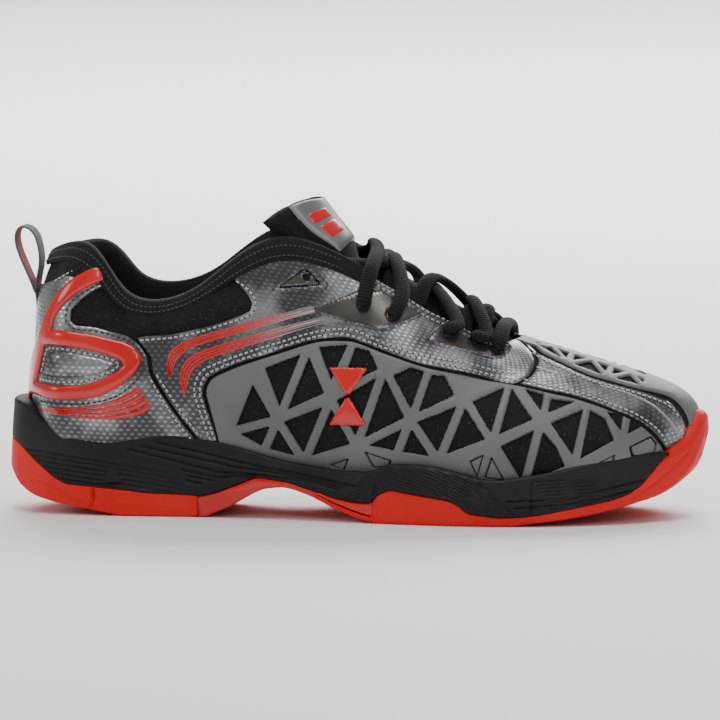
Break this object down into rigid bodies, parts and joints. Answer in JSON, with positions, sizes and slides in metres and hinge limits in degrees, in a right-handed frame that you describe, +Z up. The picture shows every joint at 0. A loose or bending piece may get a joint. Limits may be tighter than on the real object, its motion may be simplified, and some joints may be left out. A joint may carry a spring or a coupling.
{
  "type": "court shoe",
  "caption": "Right low-cut indoor court shoe with a lattice cage over mesh, laced throat, padded collar and tongue, heel pull loop and rubber outsole.",
  "frame": {"origin": "under the middle of the shoe's outline, on the floor", "axes": "+X from heel to toe, +Y towards the inner side of the foot, +Z up"},
  "size_m": [0.3042, 0.106, 0.136],
  "materials": {
    "red_rubber": "matt moulded rubber",
    "red_plastic": "glossy moulded film",
    "black_foam": "matt moulded foam",
    "black_mesh": "woven mesh",
    "black_fabric": "knitted lining and cord",
    "grey_cage": "matt film",
    "silver_weave": "metallic synthetic with a woven print",
    "smoke_plate": "smoked translucent film",
    "board": "stiff board",
    "aglet_plastic": "clear-coated tip",
    "loop_ribbon": "woven ribbon"
  },
  "bodies": {
    "shoe": {"aglet_a": "aglet_plastic", "aglet_b": "aglet_plastic", "cage_lateral": "grey_cage", "cage_medial": "grey_cage", "collar_binding": "black_fabric", "collar_pad": "black_fabric", "counter_panel": "silver_weave", "emblem_lateral": "red_plastic", "emblem_medial": "red_plastic", "eyelet_plate_front_lateral": "smoke_plate", "eyelet_plate_front_medial": "smoke_plate", "eyelet_plate_middle_lateral": "smoke_plate", "eyelet_plate_middle_medial": "smoke_plate", "eyelet_plate_top_lateral": "smoke_plate", "eyelet_plate_top_medial": "smoke_plate", "heel_fan_lateral": "red_plastic", "heel_fan_medial": "red_plastic", "heel_stiffener": "board", "heel_trim": "red_plastic", "insole_board": "board", "lace": "black_fabric", "lace_keeper": "black_fabric", "mesh_bootie": "black_mesh", "midsole": "black_foam", "outsole_forefoot": "red_rubber", "outsole_heel": "red_rubber", "pull_loop_anchor": "loop_ribbon", "quarter_lateral": "silver_weave", "quarter_medial": "silver_weave", "shank_plate": "red_plastic", "sockliner_forefoot": "black_fabric", "stripe_front_lateral": "red_plastic", "stripe_front_medial": "red_plastic", "stripe_rear_lateral": "red_plastic", "stripe_rear_medial": "red_plastic", "toe_band_lateral": "silver_weave", "toe_band_medial": "silver_weave", "toe_stiffener": "board", "tongue_lower": "black_mesh", "vamp_cage": "grey_cage"},
    "tongue_flap": {"tongue_flap": "black_mesh", "tongue_label": "silver_weave"},
    "pull_loop": {"pull_loop": "loop_ribbon"},
    "sockliner_heel": {"sockliner_heel": "black_fabric"}
  },
  "joints": [
    {"name": "tongue_fold", "type": "hinge", "parent": "shoe", "child": "tongue_flap", "pos_m": [-0.00293, -0.001, 0.112], "axis": [0, 1, 0], "range_deg": [-10, 25], "stiffness_Nm_per_rad": 0.15},
    {"name": "loop_swing", "type": "hinge", "parent": "shoe", "child": "pull_loop", "pos_m": [-0.14183, -0.001, 0.094], "axis": [0, 1, 0], "range_deg": [-55, 0], "stiffness_Nm_per_rad": 0.02},
    {"name": "sockliner_lift", "type": "hinge", "parent": "shoe", "child": "sockliner_heel", "pos_m": [0.03207, -0.001, 0.0204], "axis": [0, 1, 0], "range_deg": [0, 10]}
  ]
}
